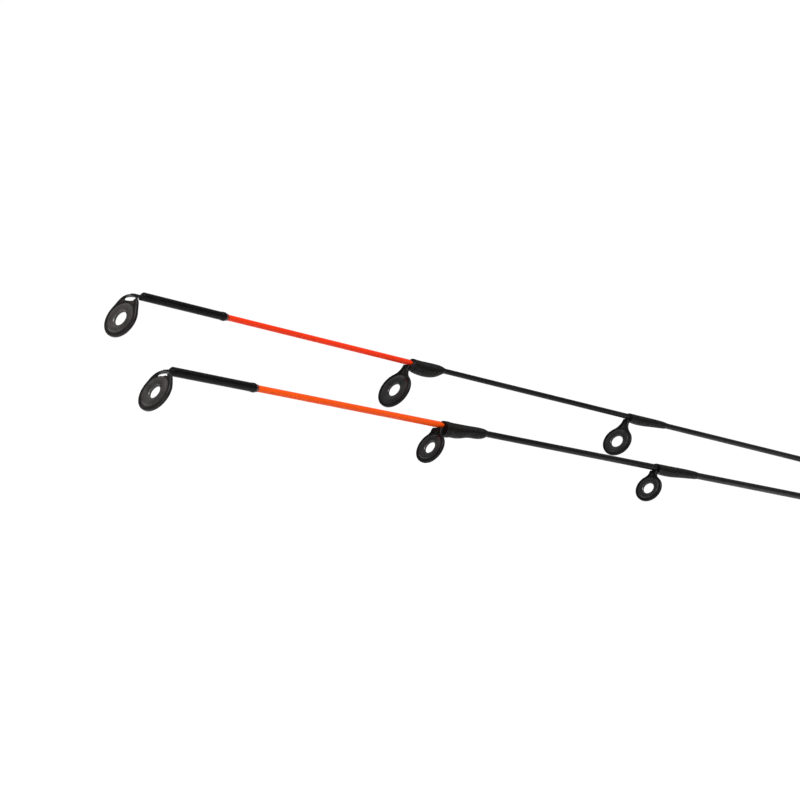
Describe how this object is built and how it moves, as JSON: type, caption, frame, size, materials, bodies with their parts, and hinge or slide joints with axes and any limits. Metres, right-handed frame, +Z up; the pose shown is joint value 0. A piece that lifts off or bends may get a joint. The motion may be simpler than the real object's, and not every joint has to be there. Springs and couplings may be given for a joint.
{
  "type": "ice fishing rod",
  "caption": "Short ice fishing rod with a cork handle, a screw-locking reel seat, an interchangeable orange-tipped tip and a spare tip clipped alongside.",
  "frame": {"origin": "centre of the flat end of the butt cap, on the blank's axis", "axes": "+X along the rod to the tips, +Z up, guides and reel hang towards -Z, +Y to the rod's left seen from the butt"},
  "size_m": [0.6004, 0.0262, 0.0336],
  "materials": {
    "cork": "matte natural cork",
    "black_rubber": "matte",
    "black_aluminium": "black anodised, satin",
    "graphite_tube": "woven carbon, satin",
    "seat_plastic": "moulded, satin",
    "arbor_foam": "dense foam",
    "socket_metal": "grey anodised, satin",
    "wire_steel": "bright",
    "thread_epoxy": "black thread under clear epoxy, glossy",
    "orange_glass_fibre": "fluorescent orange, satin gloss",
    "black_blank": "clear-coated carbon",
    "guide_steel": "black plated, satin",
    "ring_ceramic": "polished dark grey",
    "trim_red": "dark red thread, glossy",
    "spigot_carbon": "ground carbon, satin"
  },
  "bodies": {
    "handle": {"butt_cap": "black_rubber", "core_tube": "graphite_tube", "rear_grip": "cork", "rear_trim_ring": "black_aluminium", "reel_seat_body": "seat_plastic", "fixed_hood": "black_aluminium", "front_trim_ring": "black_aluminium", "fore_grip": "cork", "winding_check": "black_aluminium", "ferrule_socket": "socket_metal", "hook_keeper": "wire_steel", "seat_arbor_rear": "arbor_foam", "seat_arbor_front": "arbor_foam", "socket_wrap_rear": "thread_epoxy", "socket_wrap_front": "thread_epoxy", "spare_clip_rear": "black_rubber", "spare_clip_front": "black_rubber"},
    "main_tip": {"main_tip_top_tube": "guide_steel", "main_tip_top_frame": "guide_steel", "main_tip_top_ring": "ring_ceramic", "main_tip_top_trim": "trim_red", "main_tip_section": "orange_glass_fibre", "main_blank": "black_blank", "main_spigot": "spigot_carbon", "main_spigot_collar": "socket_metal", "main_butt_wrap": "thread_epoxy", "main_guide_1_frame": "guide_steel", "main_guide_1_ring": "ring_ceramic", "main_guide_1_wrap": "thread_epoxy", "main_guide_2_frame": "guide_steel", "main_guide_2_ring": "ring_ceramic", "main_guide_2_wrap": "thread_epoxy", "main_guide_3_frame": "guide_steel", "main_guide_3_ring": "ring_ceramic", "main_guide_3_wrap": "thread_epoxy"},
    "spare_tip": {"spare_tip_top_tube": "guide_steel", "spare_tip_top_frame": "guide_steel", "spare_tip_top_ring": "ring_ceramic", "spare_tip_top_trim": "trim_red", "spare_tip_section": "orange_glass_fibre", "spare_blank": "black_blank", "spare_spigot": "spigot_carbon", "spare_spigot_collar": "socket_metal", "spare_butt_wrap": "thread_epoxy", "spare_guide_1_frame": "guide_steel", "spare_guide_1_ring": "ring_ceramic", "spare_guide_1_wrap": "thread_epoxy", "spare_guide_2_frame": "guide_steel", "spare_guide_2_ring": "ring_ceramic", "spare_guide_2_wrap": "thread_epoxy", "spare_guide_3_frame": "guide_steel", "spare_guide_3_ring": "ring_ceramic", "spare_guide_3_wrap": "thread_epoxy"},
    "sliding_hood": {"sliding_hood": "black_aluminium", "hood_washer": "seat_plastic"},
    "lock_nut": {"lock_nut": "black_aluminium"}
  },
  "joints": [
    {"name": "main_tip_pull", "type": "slide", "parent": "handle", "child": "main_tip", "axis": [1, 0, 0], "range_m": [0, 0.06]},
    {"name": "spare_tip_pull", "type": "slide", "parent": "handle", "child": "spare_tip", "axis": [1, 0, 0], "range_m": [0, 0.06]},
    {"name": "hood_slide", "type": "slide", "parent": "handle", "child": "sliding_hood", "axis": [-1, 0, 0], "range_m": [0, 0.009]},
    {"name": "lock_nut_spin", "type": "hinge", "parent": "sliding_hood", "child": "lock_nut", "pos_m": [0.1185, 0, 0], "axis": [-1, 0, 0], "range_deg": [0, 1620]}
  ],
  "couplings": [
    {"joint": "lock_nut_spin", "follows": "hood_slide", "rad_per_m": 3141.6}
  ]
}
